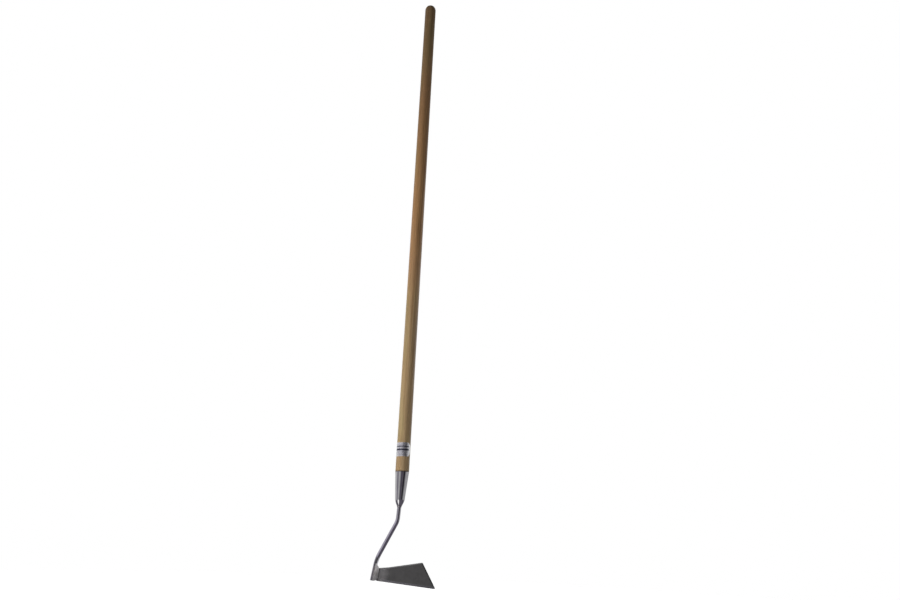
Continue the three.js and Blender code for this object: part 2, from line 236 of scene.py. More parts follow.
# --------------------------------------------------------------------------------------------------
# Shader helpers.
# --------------------------------------------------------------------------------------------------
def add_node(tree, kind, inputs=None, **props):
    """A shader node; inputs maps a socket's name or index to a value or to a socket to link."""
    made = tree.nodes.new("ShaderNode" + kind)
    for key, value in props.items():
        setattr(made, key, value)
    for key, value in (inputs or {}).items():
        if isinstance(value, bpy.types.NodeSocket):
            tree.links.new(value, made.inputs[key])
        else:
            made.inputs[key].default_value = value
    return made


def calc(tree, operation, a, b=0.0, c=0.0):
    return add_node(tree, "Math", {0: a, 1: b, 2: c}, operation=operation).outputs[0]


def scaled(tree, vector, factors):
    made = add_node(tree, "VectorMath", {0: vector, 1: factors}, operation="MULTIPLY")
    return made.outputs[0]


def noise(tree, vector, detail=3.0, roughness=0.55, distortion=0.0):
    return add_node(tree, "TexNoise", {
        "Vector": vector, "Scale": 1.0, "Detail": detail, "Roughness": roughness,
        "Distortion": distortion,
    }).outputs["Fac"]


def centred(tree, value):
    """A noise value with its middle moved to 0."""
    return calc(tree, "SUBTRACT", value, 0.5)


def ramp(tree, value, stops):
    """Colour ramp from (place, colour or grey) stops in rising order."""
    made = add_node(tree, "ValToRGB", {0: value})
    elements = made.color_ramp.elements
    while len(elements) < len(stops):
        elements.new(0.5)
    for element, (place, colour) in zip(elements, stops):
        element.position = place
        grey = not isinstance(colour, tuple)
        element.color = (colour, colour, colour, 1) if grey else (*colour, 1)
    return made.outputs["Color"]


def mix_colour(tree, factor, a, b, blend="MIX"):
    made = add_node(tree, "Mix", data_type="RGBA", blend_type=blend)
    # A Mix node has its factor in socket 0 and its colours in sockets 6 and 7.
    for index, value in ((0, factor), (6, a), (7, b)):
        if isinstance(value, bpy.types.NodeSocket):
            tree.links.new(value, made.inputs[index])
        elif isinstance(value, tuple):
            made.inputs[index].default_value = (*value, 1)
        else:
            made.inputs[index].default_value = value
    return made.outputs[2]


def map_range(tree, value, low, high, to_low=0.0, to_high=1.0, smooth=True):
    return add_node(tree, "MapRange", {
        "Value": value, "From Min": low, "From Max": high, "To Min": to_low, "To Max": to_high,
    }, interpolation_type="SMOOTHSTEP" if smooth else "LINEAR").outputs["Result"]


def bump(tree, height, distance, strength=1.0, after=None):
    inputs = {"Height": height, "Distance": distance, "Strength": strength}
    if after is not None:
        inputs["Normal"] = after
    return add_node(tree, "Bump", inputs).outputs[0]


def empty_tree(owner):
    owner.use_nodes = True
    owner.node_tree.nodes.clear()
    return owner.node_tree


def new_material(name):
    material = bpy.data.materials.new(name)
    tree = empty_tree(material)
    shader = add_node(tree, "BsdfPrincipled")
    add_node(tree, "OutputMaterial", {0: shader.outputs[0]})
    return material, tree, shader


def plug(tree, shader, **inputs):
    """Sets or links the main shader's sockets."""
    names = {"colour": "Base Color", "roughness": "Roughness", "metallic": "Metallic",
             "normal": "Normal", "specular": "Specular IOR Level"}
    for key, value in inputs.items():
        socket = shader.inputs[names[key]]
        if isinstance(value, bpy.types.NodeSocket):
            tree.links.new(value, socket)
        else:
            socket.default_value = value


# --------------------------------------------------------------------------------------------------
# Materials. Noise scales are waves per metre along X, Y and Z.
# --------------------------------------------------------------------------------------------------
def ash_wood():
    """Ash: growth rings round a pith outside the handle, coarse pores in each ring's early wood,
    fine fibres along the handle, slow colour drift, and painted shade that darkens the upper end."""
    brown, tan, straw = (0.37, 0.235, 0.115), (0.52, 0.35, 0.175), (0.60, 0.43, 0.235)
    # The dirt colour also paints the shadow in the gap at the socket's mouth.
    early_brown, pore_brown, dirt = (0.33, 0.20, 0.10), (0.13, 0.075, 0.04), (0.10, 0.07, 0.045)
    red_brown, olive = (0.47, 0.30, 0.19), (0.42, 0.38, 0.17)
    # The first of these darkens the upper end as painted shade.
    handled_shade, ruddy_shade = (0.42, 0.38, 0.33), (1.24, 1.03, 0.90)

    material, tree, shader = new_material("oiled_ash")
    place = add_node(tree, "TexCoord").outputs["Object"]
    x, y, z = add_node(tree, "SeparateXYZ", {0: place}).outputs

    def grain(around, along, detail, roughness=0.55):
        return noise(tree, scaled(tree, place, (around, around, along)), detail, roughness)

    # Rings, by the distance from a pith that runs slightly askew and wanders.
    ring_width = 2.1 * MM
    wander = calc(tree, "MULTIPLY", centred(tree, grain(14, 1.6, detail=2)), 8 * MM)
    pith_x = calc(tree, "MULTIPLY_ADD", z, 0.011, -40 * MM)
    pith_y = calc(tree, "MULTIPLY_ADD", z, 0.006, 36 * MM)
    dx = calc(tree, "ADD", calc(tree, "SUBTRACT", x, pith_x), wander)
    dy = calc(tree, "SUBTRACT", y, pith_y)
    squares = calc(tree, "ADD", calc(tree, "MULTIPLY", dx, dx), calc(tree, "MULTIPLY", dy, dy))
    phase = calc(tree, "FRACT", calc(tree, "DIVIDE", calc(tree, "SQRT", squares), ring_width))
    early = ramp(tree, phase, [(0.0, 0.15), (0.06, 1.0), (0.22, 0.75), (0.42, 0.12),
                               (0.85, 0.0), (1.0, 0.15)])

    # Bands, early wood, fibres and pores.
    fibres = grain(1500, 22, detail=4, roughness=0.65)
    pores = calc(tree, "MULTIPLY", map_range(tree, grain(2600, 75, detail=1.5), 0.56, 0.68), early)
    tone = ramp(tree, grain(260, 5, detail=3), [(0.30, brown), (0.47, tan), (0.68, straw)])
    tone = mix_colour(tree, calc(tree, "MULTIPLY", early, 0.45), tone, early_brown)
    streaks = ramp(tree, fibres, [(0.3, 0.58), (0.52, 0.95), (0.75, 1.25)])
    tone = mix_colour(tree, 0.55, tone, streaks, "MULTIPLY")
    tone = mix_colour(tree, calc(tree, "MULTIPLY", pores, 0.75), tone, pore_brown)

    # Slow drift towards red-brown and towards olive.
    reddened = map_range(tree, grain(9, 2.6, detail=2), 0.42, 0.68, 0, 0.38)
    tone = mix_colour(tree, reddened, tone, red_brown)
    greened = map_range(tree, grain(30, 4.1, detail=2), 0.46, 0.66, 0, 0.42)
    tone = mix_colour(tree, greened, tone, olive)

    # Painted shade: the upper end is darker, standing in for light that falls off towards the top.
    # The middle is ruddier.
    wear = grain(60, 12, detail=4)
    height = calc(tree, "MULTIPLY_ADD", wear, 0.16, z)
    handled = map_range(tree, height, MOUTH + 0.15, wood_high.z + 0.06, 0, 0.60)
    tone = mix_colour(tree, handled, tone, mix_colour(tree, 1.0, tone, handled_shade, "MULTIPLY"))
    ruddy = calc(tree, "MULTIPLY", map_range(tree, z, MOUTH + 0.25, MOUTH + 0.65),
                 map_range(tree, z, wood_high.z, wood_high.z - 0.40, 0.3, 1.0))
    tone = mix_colour(tree, ruddy, tone, mix_colour(tree, 1.0, tone, ruddy_shade, "MULTIPLY"))

    # Painted shadow in the gap at the socket's mouth, and dirt on the end grain.
    foot = map_range(tree, z, MOUTH + 3.5 * MM, MOUTH + 0.5 * MM, 0, 0.8)
    head = map_range(tree, z, wood_high.z - 8 * MM, wood_high.z - 1 * MM, 0, 0.7)
    tone = mix_colour(tree, calc(tree, "MAXIMUM", foot, head), tone, dirt)

    gloss = map_range(tree, wear, 0.3, 0.7, 0.26, 0.38)
    relief = calc(tree, "SUBTRACT", calc(tree, "MULTIPLY", fibres, 0.5), pores)
    plug(tree, shader, colour=tone, roughness=calc(tree, "MULTIPLY_ADD", fibres, 0.25, gloss),
         specular=0.5, normal=bump(tree, relief, 0.06 * MM, 0.8))
    return material


def steel(name, colour, roughness, along, across, streak, scratch,
          heat_at=None, dents=0.0, matt=0.0):
    """Bright stainless steel. Polishing lines follow the UV's directions: `along` and `across` are
    their waves per metre. streak and scratch are how much they colour and roughen the surface.
    heat_at is a point round which welding has left a faint straw and blue tint. matt is how dull
    and pale a pickled strip is beside the fold: it needs a UV whose first coordinate is the
    distance from the fold, below 0 on the tab, which is duller than the blade."""
    material, tree, shader = new_material(name)
    coords = add_node(tree, "TexCoord")
    place, uv = coords.outputs["Object"], coords.outputs["UV"]
    lines = noise(tree, scaled(tree, uv, (across, along, 1)), detail=5, roughness=0.7)
    smudge = noise(tree, scaled(tree, place, (70, 70, 70)), detail=4, roughness=0.6, distortion=0.6)
    speck = noise(tree, scaled(tree, place, (1900, 1900, 1900)), detail=2)
    # Smudges move the tint and the strip to and fro by a few millimetres.
    blur = 14 * MM

    dark = tuple(c * 0.72 for c in colour)
    tone = mix_colour(tree, map_range(tree, smudge, 0.35, 0.75, 0, 0.55), colour, dark)
    shade = ramp(tree, lines, [(0.3, 0.62), (0.55, 1.0), (0.8, 1.12)])
    tone = mix_colour(tree, streak * 0.5, tone, shade, "MULTIPLY")
    if heat_at is not None:
        offset = add_node(tree, "VectorMath", {0: place, 1: heat_at}, operation="DISTANCE")
        reach = calc(tree, "MULTIPLY_ADD", centred(tree, smudge), blur, offset.outputs["Value"])
        near, far = 4 * MM, 15 * MM
        burnt, straw, blue, bare = (
            (0.33, 0.27, 0.23), (0.50, 0.40, 0.28), (0.42, 0.42, 0.52), (0.62, 0.61, 0.62))
        tint = ramp(tree, map_range(tree, reach, near, far, smooth=False),
                    [(0.0, burnt), (0.35, straw), (0.55, blue), (0.8, bare)])
        tone = mix_colour(tree, map_range(tree, reach, near, far, 0.16, 0.0), tone, tint)

    rough = calc(tree, "ADD",
                 map_range(tree, lines, 0.3, 0.75, roughness * 0.72, roughness * 1.3),
                 map_range(tree, smudge, 0.45, 0.8, 0.0, 0.10))
    metallic = 1.0
    if matt:
        from_fold = add_node(tree, "SeparateXYZ", {0: uv}).outputs[0]
        wavering = calc(tree, "MULTIPLY_ADD", centred(tree, smudge), blur, from_fold)
        strip = calc(tree, "MULTIPLY", map_range(tree, wavering, 5 * MM, 25 * MM, 1.0, 0.0),
                     map_range(tree, from_fold, 1.7 * MM, 2.3 * MM))
        tab = map_range(tree, from_fold, -1 * MM, -3 * MM, 0.0, 0.27)
        rough = calc(tree, "ADD", calc(tree, "MULTIPLY_ADD", strip, matt, rough), tab)
        metallic = calc(tree, "MULTIPLY_ADD", strip, -matt, 1.0)

    relief = calc(tree, "ADD", calc(tree, "MULTIPLY", lines, 0.7),
                  calc(tree, "MULTIPLY", speck, 0.3))
    normal = bump(tree, relief, 0.012 * MM, scratch)
    if dents:
        broad = noise(tree, scaled(tree, uv, (across / 9, along / 9, 1)), detail=2)
        normal = bump(tree, calc(tree, "ADD", broad, smudge), dents, 0.6, after=normal)
    plug(tree, shader, colour=tone, roughness=rough, metallic=metallic, normal=normal)
    return material


def weld_metal(name, dark, light):
    """Bare weld: straw and grey oxide, fine pits and a few soot spots."""
    material, tree, shader = new_material(name)
    place = add_node(tree, "TexCoord").outputs["Object"]
    grain = noise(tree, scaled(tree, place, (900, 900, 900)), detail=4)
    patch = noise(tree, scaled(tree, place, (160, 160, 160)), detail=3)
    tone = mix_colour(tree, map_range(tree, patch, 0.35, 0.7), dark, light)
    sooty, soot = map_range(tree, grain, 0.55, 0.75, 0, 0.7), (0.12, 0.10, 0.09)
    tone = mix_colour(tree, sooty, tone, soot)
    plug(tree, shader, colour=tone, metallic=1.0,
         roughness=map_range(tree, grain, 0.3, 0.7, 0.28, 0.55),
         normal=bump(tree, grain, 0.08 * MM, 0.7))
    return material


def label_foil():
    """Silver foil label: a bare bright rim, a greyer printed field and two plain dark bars that
    say nothing. The UV is the distance along the wrap and the height, from the label's middle."""
    rim, print_grey, dark_ink = (0.97, 0.97, 0.98), (0.80, 0.80, 0.84), (0.035, 0.035, 0.06)
    material, tree, shader = new_material("silver_foil_label")
    coords = add_node(tree, "TexCoord")
    place = coords.outputs["Object"]
    u, v, _ = add_node(tree, "SeparateXYZ", {0: coords.outputs["UV"]}).outputs
    edge = add_node(tree, "Attribute", attribute_name="edge").outputs["Fac"]
    crinkle = noise(tree, scaled(tree, place, (190, 190, 260)), detail=4, roughness=0.6)
    grain = noise(tree, scaled(tree, place, (2500, 2500, 300)), detail=2)
    field = map_range(tree, edge, 1.4 * MM, 1.8 * MM)
    tone = mix_colour(tree, field, rim, print_grey)

    def bar(centre, half, left=-22 * MM, right=20.2 * MM, blur=0.1 * MM):
        """1 inside a bar; centre and half are heights, left and right are along the wrap."""
        off = calc(tree, "ABSOLUTE", calc(tree, "SUBTRACT", v, centre))
        inside = map_range(tree, off, half + 0.12 * MM, half - 0.12 * MM)
        begun = map_range(tree, u, left - blur, left + blur)
        unended = map_range(tree, u, right + blur, right - blur)
        return calc(tree, "MULTIPLY", inside, calc(tree, "MULTIPLY", begun, unended))

    ink = calc(tree, "MAXIMUM", bar(6.2 * MM, 1.0 * MM), bar(-0.4 * MM, 1.7 * MM))
    worn = calc(tree, "MULTIPLY", ink, map_range(tree, crinkle, 0.25, 0.42, 0.7, 1.0))
    tone = mix_colour(tree, worn, tone, dark_ink)
    plug(tree, shader, colour=tone, metallic=map_range(tree, worn, 0, 1, 0.85, 0.15),
         roughness=map_range(tree, grain, 0.3, 0.7, 0.20, 0.32),
         normal=bump(tree, crinkle, 0.22 * MM, 0.5, after=bump(tree, grain, 0.01 * MM, 0.5)))
    return material


weld_heat = (tab_weld_low + tab_weld_high) / 2
wood_finish = ash_wood()
foil_finish = label_foil()
socket_finish = steel("polished_socket_steel", (0.70, 0.69, 0.72), roughness=0.07,
                      along=5200, across=90, streak=0.15, scratch=0.15)
rod_finish = steel("drawn_bar_steel", (0.68, 0.66, 0.73), roughness=0.13,
                   along=60, across=4200, streak=0.2, scratch=0.2, heat_at=weld_heat)
plate_finish = steel("rolled_plate_steel", (0.62, 0.60, 0.61), roughness=0.20,
                     along=3800, across=45, streak=0.45, scratch=0.30,
                     heat_at=weld_heat, dents=0.05 * MM, matt=0.62)
ground_finish = steel("ground_edge_steel", (0.62, 0.61, 0.62), roughness=0.30,
                      along=300, across=6500, streak=0.6, scratch=0.9)
bead_finish = weld_metal("bare_weld", (0.30, 0.27, 0.25), (0.50, 0.48, 0.47))
neck_bead_finish = weld_metal("dressed_weld", (0.42, 0.40, 0.42), (0.55, 0.54, 0.57))
screw_finish = steel("bright_screw_steel", (0.58, 0.58, 0.60), roughness=0.28,
                     along=900, across=900, streak=0.4, scratch=0.5)
# Painted shade: a dark steel colour for the slot's faces, standing in for the shade inside the
# slot.
slot_finish = steel("slot_steel_painted_shade", (0.16, 0.15, 0.15), roughness=0.55,
                    along=900, across=900, streak=0.4, scratch=0.8)


def finish_piece(piece, materials, node):
    for material in materials:
        piece.data.materials.append(material)
    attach(piece, "root")
    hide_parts(node)


# --------------------------------------------------------------------------------------------------
# Handle, label, socket, screw and neck weld.
# --------------------------------------------------------------------------------------------------
def socket_radius(drop):
    """Outside radius of the socket at a distance below its mouth."""
    waist, end = 10 * MM, 5.3 * MM
    if drop <= CONE_L:
        return SOCKET_R + (waist - SOCKET_R) * drop / CONE_L
    t = min((drop - CONE_L) / (SOCKET_L - CONE_L), 1)
    return waist + (end - waist) * t ** 1.4


def build_handle():
    """Spigot, shoulder on the socket's mouth, straight shaft and domed end."""
    clear = SOCKET_WALL + GAP
    chamfer, rings, dome_rings = 0.5 * MM, 60, 18
    shoulder = MOUTH + GAP
    shaft_low, shaft_high = shoulder + chamfer, wood_high.z - WOOD_R
    spigot_end, spigot_r = MOUTH - SPIGOT_L, socket_radius(SPIGOT_L) - clear
    profile = [(0, spigot_end), (spigot_r - 1 * MM, spigot_end), (spigot_r, spigot_end + 1 * MM),
               (socket_radius(0) - clear, shoulder), (WOOD_R - chamfer, shoulder)]
    profile += [(WOOD_R - chamfer * (1 - math.sin(a)), shoulder + chamfer * (1 - math.cos(a)))
                for a in (0.5, 1.0)]
    profile += [(WOOD_R, shaft_low + (shaft_high - shaft_low) * i / rings)
                for i in range(rings + 1)]
    profile += [(WOOD_R * math.cos(a), shaft_high + WOOD_R * math.sin(a))
                for a in quarter_turns(dome_rings)[1:-1]]
    profile.append((0, wood_high.z))

    def wobble(angle, height):
        """Up to 0.6 % thinner here and there, as sanded wood is."""
        if height < shaft_low:
            return 1
        point = Vector((math.cos(angle) * 0.7, math.sin(angle) * 0.7, height * 7))
        return 1 - 0.006 * (0.5 + 0.5 * smooth_noise.noise(point))

    handle = lathe("ash_handle", profile, 96, math.radians(40), wobble)
    finish_piece(handle, [wood_finish], "wood_handle")


def build_label():
    """Thin foil with round corners, wrapped round the handle."""
    half_height = (label_high.z - label_low.z) / 2
    middle = (label_high.z + label_low.z) / 2
    inner, outer = WOOD_R + 0.02 * MM, WOOD_R + 0.14 * MM
    half_arc, turn, corner = math.radians(94), math.radians(-26), 9 * MM
    half_length = half_arc * (WOOD_R + GAP)
    columns, rows = 112, 20
    verts, uvs, edge = [], [], []
    for radius in (inner, outer):
        for c in range(columns + 1):
            # Columns crowd towards the round ends.
            t = c / columns * 2 - 1
            along = half_length * math.sin(t * math.pi / 2) * 0.35 + half_length * t * 0.65
            into = max(0, abs(along) - (half_length - corner))
            top = half_height - (corner - math.sqrt(max(0, corner ** 2 - into ** 2)))
            for r in range(rows + 1):
                v = top * (r / rows * 2 - 1)
                angle = turn + along / half_length * half_arc - math.pi / 2
                verts.append((radius * math.cos(angle), radius * math.sin(angle), middle + v))
                uvs.append((along, v))
                # Distance from the label's outline, which has round corners.
                qx, qy = abs(along) - (half_length - corner), abs(v) - (half_height - corner)
                outside = math.hypot(max(qx, 0), max(qy, 0)) + min(max(qx, qy), 0) - corner
                edge.append(max(0, -outside))

    def at(side, c, r):
        return (side * (columns + 1) + c) * (rows + 1) + r

    faces = []
    for side in (0, 1):
        for c in range(columns):
            for r in range(rows):
                faces.append((at(side, c, r), at(side, c + 1, r),
                              at(side, c + 1, r + 1), at(side, c, r + 1)))
    rim = [(c, 0) for c in range(columns)] + [(columns, r) for r in range(rows)]
    rim += [(c, rows) for c in range(columns, 0, -1)] + [(0, r) for r in range(rows, 0, -1)]
    for one, two in zip(rim, rim[1:] + rim[:1]):
        faces.append((at(0, *one), at(0, *two), at(1, *two), at(1, *one)))
    label = make_object("foil_label", verts, faces, uvs, math.radians(35))
    attribute = label.data.attributes.new("edge", "FLOAT", "POINT")
    attribute.data.foreach_set("value", edge)
    finish_piece(label, [foil_finish], "handle_label")


def build_socket():
    """Tapered cup with a rolled lip at the mouth and a rounded shoulder that necks down to the
    bar."""
    lip, shoulder_rings, cone_rings, lip_steps = 0.45 * MM, 26, 24, 6
    drops = [SOCKET_L + (CONE_L - SOCKET_L) * i / shoulder_rings for i in range(shoulder_rings + 1)]
    drops += [CONE_L + (lip - CONE_L) * i / cone_rings for i in range(1, cone_rings)]
    profile = [(0, socket_low.z)] + [(socket_radius(drop), MOUTH - drop) for drop in drops]
    profile += [(SOCKET_R - lip * (1 - math.cos(a)), MOUTH - lip * (1 - math.sin(a)))
                for a in quarter_turns(lip_steps)]
    inner = socket_radius(CONE_L) - SOCKET_WALL
    profile += [(SOCKET_R - SOCKET_WALL, MOUTH), (inner, MOUTH - CONE_L),
                (inner - 2 * MM, MOUTH - HOLLOW_L), (0, MOUTH - HOLLOW_L)]
    socket = lathe("steel_socket", profile, 96, math.radians(50))
    finish_piece(socket, [socket_finish], "socket")


def build_screw():
    """Round-head slotted screw, standing out of the back of the socket."""
    radius = (screw_high.x - screw_low.x) / 2
    centre = (screw_low + screw_high) / 2
    height, shank, shank_r, under = 2.2 * MM, 12 * MM, 1.7 * MM, -0.05 * MM
    slot_half, slot_depth, slot_turn = 0.45 * MM, 0.75 * MM, math.radians(24)
    around = 40
    profile = [(shank_r * 0.2, -shank), (shank_r, -shank + 2 * MM), (shank_r, under),
               (radius * 0.97, under)]
    profile += [(radius * math.cos(a), height * math.sin(a)) for a in quarter_turns(9)[:-1]]
    profile.append((radius * 0.04, height))
    verts = []
    for r, out in profile:
        for s in range(around):
            a = 2 * math.pi * s / around
            verts.append(Vector((r * math.cos(a), r * math.sin(a), out)))
    mesh = bpy.data.meshes.new("slotted_screw")
    mesh.from_pydata(verts, [], tube_faces(len(profile), around))
    edit_mesh(mesh, face_outwards)
    body = link_object("screw_blank", mesh)

    def shape_cutter(work):
        bmesh.ops.create_cube(work, size=1)
        size = (3 * radius, 2 * slot_half, 2 * slot_depth)
        bmesh.ops.scale(work, vec=size, verts=work.verts)
        bmesh.ops.translate(work, vec=(0, 0, height), verts=work.verts)

    cutter_mesh = bpy.data.meshes.new("slot_cutter")
    edit_mesh(cutter_mesh, shape_cutter)
    cutter = link_object("slot_cutter", cutter_mesh)
    cut = body.modifiers.new("slot", "BOOLEAN")
    cut.object = cutter
    cut.operation = "DIFFERENCE"
    mesh = with_modifiers(body)
    bpy.data.objects.remove(cutter)

    # Painted shade: the slot's walls and floor take the dark slot material, standing in for the
    # shade inside the slot.
    slot_floor = height - slot_depth
    for polygon in mesh.polygons:
        out = polygon.center.z
        inside = abs(polygon.center.y) < slot_half * 1.01 and out > slot_floor * 0.99
        walled = abs(polygon.normal.y) > 0.99 or out < slot_floor * 1.01
        polygon.material_index = 1 if inside and walled else 0
    layer = mesh.uv_layers.new(name="metres")
    for loop in mesh.loops:
        layer.data[loop.index].uv = mesh.vertices[loop.vertex_index].co.xy
    seat = Matrix.Translation((centre.x, screw_high.y - height, centre.z))
    outwards = Matrix.Rotation(-math.pi / 2, 4, "X")
    mesh.transform(seat @ outwards @ Matrix.Rotation(slot_turn, 4, "Z"))
    screw = finish_mesh("slotted_screw", mesh, math.radians(35))
    finish_piece(screw, [screw_finish, slot_finish], "socket_screw")


def build_neck_weld():
    """Dressed ring of weld that fairs the socket's end into the bar."""
    top, bottom = weld_high.z + 0.6 * MM, weld_low.z - 0.7 * MM
    top_r = socket_radius(SOCKET_L - 0.25 * MM) + 0.05 * MM
    crown_r, bottom_r = ROD_R + 0.5 * MM, ROD_R + 0.02 * MM
    steps = 14
    profile = [(0, bottom)]
    for i in range(steps + 1):
        t = i / steps
        fair = (1 - t) ** 2 * bottom_r + 2 * t * (1 - t) * crown_r + t * t * top_r
        ripple = 0.05 * MM * math.sin(t * math.pi * 5) * math.sin(t * math.pi)
        profile.append((fair + ripple, bottom + (top - bottom) * t))
    profile.append((0, top))

    def wobble(angle, height):
        point = Vector((math.cos(angle) * 2, math.sin(angle) * 2, height * 900))
        return 1 + 0.012 * smooth_noise.noise(point)

    bead = lathe("neck_weld_bead", profile, 64, math.radians(60), wobble)
    finish_piece(bead, [neck_bead_finish], "neck_weld")


# --------------------------------------------------------------------------------------------------
# Neck bar, blade and the welds between them.
# --------------------------------------------------------------------------------------------------
def neck_path():
    """Centre line of the bar: three straights joined by two bends, as points going down."""
    knee_tangent, ankle_tangent = 7.5 * MM, 12 * MM
    start = Vector((LEAN * (weld_low.z - GAP - MOUTH), 0, rod_high.z))
    knee = Vector((-3.1 * MM, 0, MOUTH - 97.3 * MM))
    end = in_blade(-ROD_OFFSET, ROD_END, rod_height)
    up = (in_blade(-ROD_OFFSET, 0, rod_height) - end).normalized()
    ankle = end - up * (end.y / up.y)
    points = []

    def straight(a, b, count):
        points.extend(a.lerp(b, i / count) for i in range(count))

    def bend(a, corner, b, count):
        for i in range(count):
            t = i / count
            points.append(a * (1 - t) ** 2 + corner * 2 * t * (1 - t) + b * t * t)

    def towards(a, b, length):
        return a + (b - a).normalized() * length

    knee_in, knee_out = towards(knee, start, knee_tangent), towards(knee, ankle, knee_tangent)
    ankle_in, ankle_out = towards(ankle, knee, ankle_tangent), towards(ankle, end, ankle_tangent)
    straight(start, knee_in, 6)
    bend(knee_in, knee, knee_out, 14)
    straight(knee_out, ankle_in, 16)
    bend(ankle_in, ankle, ankle_out, 18)
    straight(ankle_out, end, 10)
    points.append(end)
    return points


def build_neck_bar():
    """Round bar along the path, cut off on the flush plane with an eased rim."""
    points = neck_path()
    clear, ease, around = 4.5 * MM, 0.7 * MM, 40
    # The last rings before the cut would cross it.
    while (points[-2] - heel).dot(flush_normal) * above < clear:
        points.pop(-2)
    verts, uvs = [], []
    side = Vector((1, 0, 0))
    length = 0.0
    for i, point in enumerate(points):
        before, after = points[max(i - 1, 0)], points[min(i + 1, len(points) - 1)]
        forward = (after - before).normalized()
        side = (side - forward * side.dot(forward)).normalized()
        third = forward.cross(side)
        length += (point - before).length
        last = i == len(points) - 1
        for ring_r, back in ((ROD_R, ease), (ROD_R - ease, 0)) if last else ((ROD_R, 0),):
            for s in range(around):
                # The seam is at the back.
                a = 2 * math.pi * s / around + math.pi / 2
                p = point + (side * math.cos(a) + third * math.sin(a)) * ring_r
                if last:
                    to_plane = (heel - p).dot(flush_normal) / forward.dot(flush_normal)
                    p += forward * (to_plane - back)
                verts.append(p)
                uvs.append((a * ROD_R, length))
    faces = tube_faces(len(verts) // around, around)
    bar = make_object("neck_bar", verts, faces, uvs, math.radians(30))
    finish_piece(bar, [rod_finish], "neck_rod")


def build_blade():
    """The CAD plate's own shape with its flat facets joined and its edges eased."""
    mesh = frame["nodes"]["blade"].data.copy()
    mesh.materials.clear()

    def join_facets(work):
        bmesh.ops.remove_doubles(work, verts=work.verts, dist=0.02 * MM)
        bmesh.ops.dissolve_limit(work, angle_limit=math.radians(0.8), verts=work.verts,
                                 edges=work.edges)

    edit_mesh(mesh, join_facets, face_outwards)
    blank = link_object("blade_blank", mesh)
    ease = blank.modifiers.new("ease", "BEVEL")
    ease.width = 0.18 * MM
    ease.segments = 2
    ease.limit_method = "ANGLE"
    ease.angle_limit = math.radians(20)
    ease.use_clamp_overlap = True
    blade = finish_mesh("blade_plate", with_modifiers(blank), math.radians(18))

    # The ground bevels slant by less than the fold and more than the sole.
    least, most = math.radians(12), math.radians(40)
    beyond_fold, smallest_bevel = 4 * MM, 1 * MM ** 2
    to_blade = blade_frame.inverted()
    mesh = blade.data
    layer = mesh.uv_layers.active or mesh.uv_layers.new(name="metres")
    for polygon in mesh.polygons:
        normal = to_blade.to_3x3() @ polygon.normal
        centre = to_blade @ polygon.center
        slanted = least < math.acos(max(-1, min(1, normal.z))) < most
        ground = slanted and centre.x > beyond_fold and polygon.area > smallest_bevel
        polygon.material_index = 1 if ground else 0
        for loop in polygon.loop_indices:
            p = to_blade @ mesh.vertices[mesh.loops[loop].vertex_index].co
            layer.data[loop].uv = (p.x if p.x > 0 else -math.hypot(p.x, p.z), p.y)
    finish_piece(blade, [plate_finish, ground_finish], "blade")


def build_tab_weld(name, side, node):
    """Rippled fillet bead in the groove between the bar and the tab's outer face."""
    length, top, reach = 26 * MM, 12.5 * MM, 4 * MM
    root, into_tab, into_bar, up_bar = 0.2 * MM, 0.25 * MM, 0.12 * MM, 0.25
    ripples, bluntness = 21, 12
    centre = Vector((-ROD_OFFSET, 0, rod_height))
    groove = centre - tab_out * (ROD_R + GAP / 2)
    on_tab = groove + tab_run * (side * reach) - tab_out * into_tab
    on_bar = centre + (tab_run * side * math.cos(up_bar) - tab_out * math.sin(up_bar)) * (
        ROD_R - into_bar)
    outwards = ((on_tab + on_bar) / 2 - groove).normalized()
    stations, face_steps = 118, 10
    verts = []
    for i in range(stations + 1):
        t = i / stations
        y = top - length * t
        end_taper = math.sqrt(max(0.0, 1 - abs(2 * t - 1) ** bluntness))
        ripple = abs(math.sin(t * math.pi * ripples + 0.5 * math.sin(t * 9)))
        wander = smooth_noise.noise(Vector((t * 7, side * 3.0, 0.5)))
        crown = (0.35 + 0.22 * ripple + 0.25 * wander) * MM
        row = [groove - outwards * root]
        for f in range(face_steps + 1):
            s = f / face_steps
            arch = 4 * s * (1 - s)
            point = on_tab.lerp(on_bar, s) + outwards * crown * arch
            row.append(groove.lerp(point, 0.30 + 0.70 * end_taper))
        verts += [blade_frame @ (p + Vector((0, y, 0))) for p in row]
    faces = tube_faces(stations + 1, face_steps + 2)
    bead = make_object(name, verts, faces, None, math.radians(50))
    finish_piece(bead, [bead_finish], node)


build_handle()
build_label()
build_socket()
build_screw()
build_neck_weld()
build_neck_bar()
build_blade()
build_tab_weld("tab_weld_bead_outer", 1, "tab_weld_outer")
build_tab_weld("tab_weld_bead_inner", -1, "tab_weld_inner")


